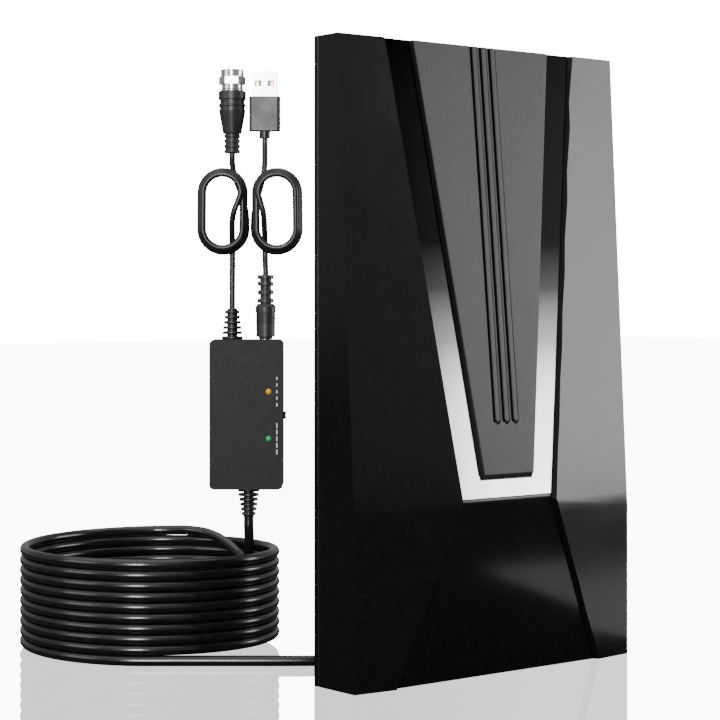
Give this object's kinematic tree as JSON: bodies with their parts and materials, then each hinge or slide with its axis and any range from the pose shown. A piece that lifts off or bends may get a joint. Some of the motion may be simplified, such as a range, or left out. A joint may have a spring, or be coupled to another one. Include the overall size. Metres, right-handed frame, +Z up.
{
  "type": "amplified television antenna",
  "caption": "Upright flat panel antenna with a coiled lead, an in-line amplifier box with a range switch, an F connector on a short lead and a USB power lead.",
  "frame": {"origin": "centre of the panel's footprint, on the surface that it stands on", "axes": "+Z up, the panel's front faces -Y, and its width runs along X"},
  "size_m": [0.2164, 0.2267, 0.272],
  "materials": {
    "panel_shell": "glossy black moulded shell",
    "centre_panel": "satin dark grey raised panel",
    "trim": "mirror-like grey trim, black towards the top",
    "fascia": "deep gloss black",
    "screw_steel": "zinc-plated screw",
    "seal_rubber": "soft black gasket",
    "board": "green solder mask",
    "copper": "bare copper",
    "tinned_steel": "tinned sheet",
    "relief_rubber": "matt black ribbed strain relief",
    "boot_plastic": "satin black overmould",
    "lead_jacket": "glossy black PVC jacket",
    "cord_jacket": "satin black PVC jacket",
    "amp_plastic": "fine-grained black housing",
    "component": "moulded component body",
    "knob_plastic": "matt black knob",
    "amber_lamp": "amber lens",
    "green_lamp": "green lens",
    "nickel": "nickel plate",
    "insulator": "white insulator",
    "usb_plastic": "satin black overmould",
    "contact_gold": "gold-plated contact"
  },
  "bodies": {
    "root": {"front_shell": "panel_shell", "centre_panel": "centre_panel", "v_trim": "trim", "lower_fascia": "fascia", "rear_cover": "panel_shell", "rear_cover_screws": "screw_steel", "perimeter_seal": "seal_rubber", "antenna_board": "board", "antenna_elements": "copper", "board_screws": "screw_steel", "balun_can": "tinned_steel", "cable_gland": "relief_rubber", "inner_coax": "lead_jacket", "lead_run": "lead_jacket", "lead_coil": "lead_jacket", "lead_rise": "lead_jacket", "amp_front_shell": "amp_plastic", "amp_rear_shell": "amp_plastic", "amp_board": "board", "amp_shield_can": "tinned_steel", "amp_components": "component", "amp_screws": "screw_steel", "switch_body": "tinned_steel", "amber_lamp": "amber_lamp", "green_lamp": "green_lamp", "dc_jack": "component", "input_relief": "relief_rubber", "output_relief": "relief_rubber", "output_lower": "cord_jacket", "output_hank": "cord_jacket", "output_upper": "cord_jacket", "f_boot": "boot_plastic", "f_ferrule": "nickel", "f_dielectric": "insulator", "f_centre_pin": "copper"},
    "range_switch": {"switch_knob": "knob_plastic"},
    "f_nut": {"f_nut": "nickel"},
    "power_lead": {"dc_overmould": "boot_plastic", "dc_insulator": "insulator", "dc_barrel": "nickel", "usb_lower": "cord_jacket", "usb_hank": "cord_jacket", "usb_upper": "cord_jacket", "usb_overmould": "usb_plastic", "usb_shell": "nickel", "usb_tongue": "insulator", "usb_contacts": "contact_gold"}
  },
  "joints": [
    {"name": "switch_slide", "type": "slide", "parent": "root", "child": "range_switch", "axis": [0, 0, 1], "range_m": [-0.001, 0.001]},
    {"name": "nut_spin", "type": "hinge", "parent": "root", "child": "f_nut", "pos_m": [-0.04135, 0.12656, 0.266], "axis": [0, 0, 1], "continuous": true},
    {"name": "plug_pull", "type": "slide", "parent": "root", "child": "power_lead", "axis": [0, 0, 1], "range_m": [0, 0.012]}
  ]
}
